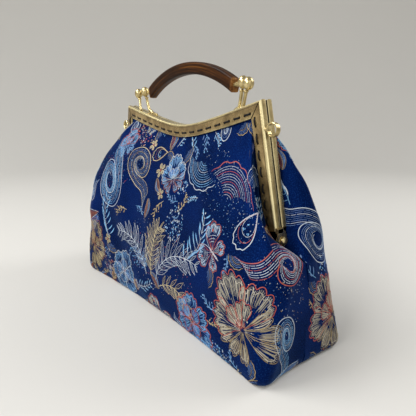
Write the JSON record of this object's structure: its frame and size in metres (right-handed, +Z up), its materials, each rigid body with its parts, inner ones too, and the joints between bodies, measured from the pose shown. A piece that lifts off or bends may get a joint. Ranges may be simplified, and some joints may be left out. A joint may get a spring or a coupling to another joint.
{
  "type": "knitting bag",
  "caption": "Brocade knitting bag sewn to a hinged brass kiss-lock frame, with a curved wooden grip, ball clasps and strap rings.",
  "frame": {"origin": "middle of the bag's base, on the surface that it stands on", "axes": "+Z up, +X along the bag's length, +Y towards the back half, which carries the grip"},
  "size_m": [0.298, 0.0882, 0.2325],
  "materials": {
    "antique_brass": "brushed, antiqued, clear lacquer",
    "rosewood": "dark stained, glossy lacquer",
    "sewing_thread": "waxed black-navy thread",
    "brocade": "satin ground with raised metallic-look weft figures",
    "cotton_lining": "matt plain weave",
    "grey_board": "stiffening board of pressed fibre"
  },
  "bodies": {
    "bag": {"front_panel_lower": "brocade", "back_panel_lower": "brocade", "lining_lower": "cotton_lining", "base_board": "grey_board", "hinge_rivet_left": "antique_brass", "hinge_rivet_right": "antique_brass"},
    "front_half": {"front_frame": "antique_brass", "clasp_post_left": "antique_brass", "clasp_post_right": "antique_brass", "clasp_ball_left": "antique_brass", "clasp_ball_right": "antique_brass", "strap_ring_left": "antique_brass", "strap_ring_right": "antique_brass", "front_stitching": "sewing_thread", "front_panel_upper": "brocade", "front_lining_upper": "cotton_lining"},
    "rear_half": {"rear_frame": "antique_brass", "handle_post_left": "antique_brass", "handle_post_right": "antique_brass", "handle_ball_left": "antique_brass", "handle_ball_right": "antique_brass", "handle_stud_left": "antique_brass", "handle_stud_right": "antique_brass", "handle_grip": "rosewood", "rear_stitching": "sewing_thread", "back_panel_upper": "brocade", "back_lining_upper": "cotton_lining"}
  },
  "joints": [
    {"name": "front_hinge", "type": "hinge", "parent": "bag", "child": "front_half", "pos_m": [0, 0, 0.093], "axis": [1, 0, 0], "range_deg": [0, 40]},
    {"name": "rear_hinge", "type": "hinge", "parent": "bag", "child": "rear_half", "pos_m": [0, 0, 0.093], "axis": [-1, 0, 0], "range_deg": [0, 40]}
  ]
}
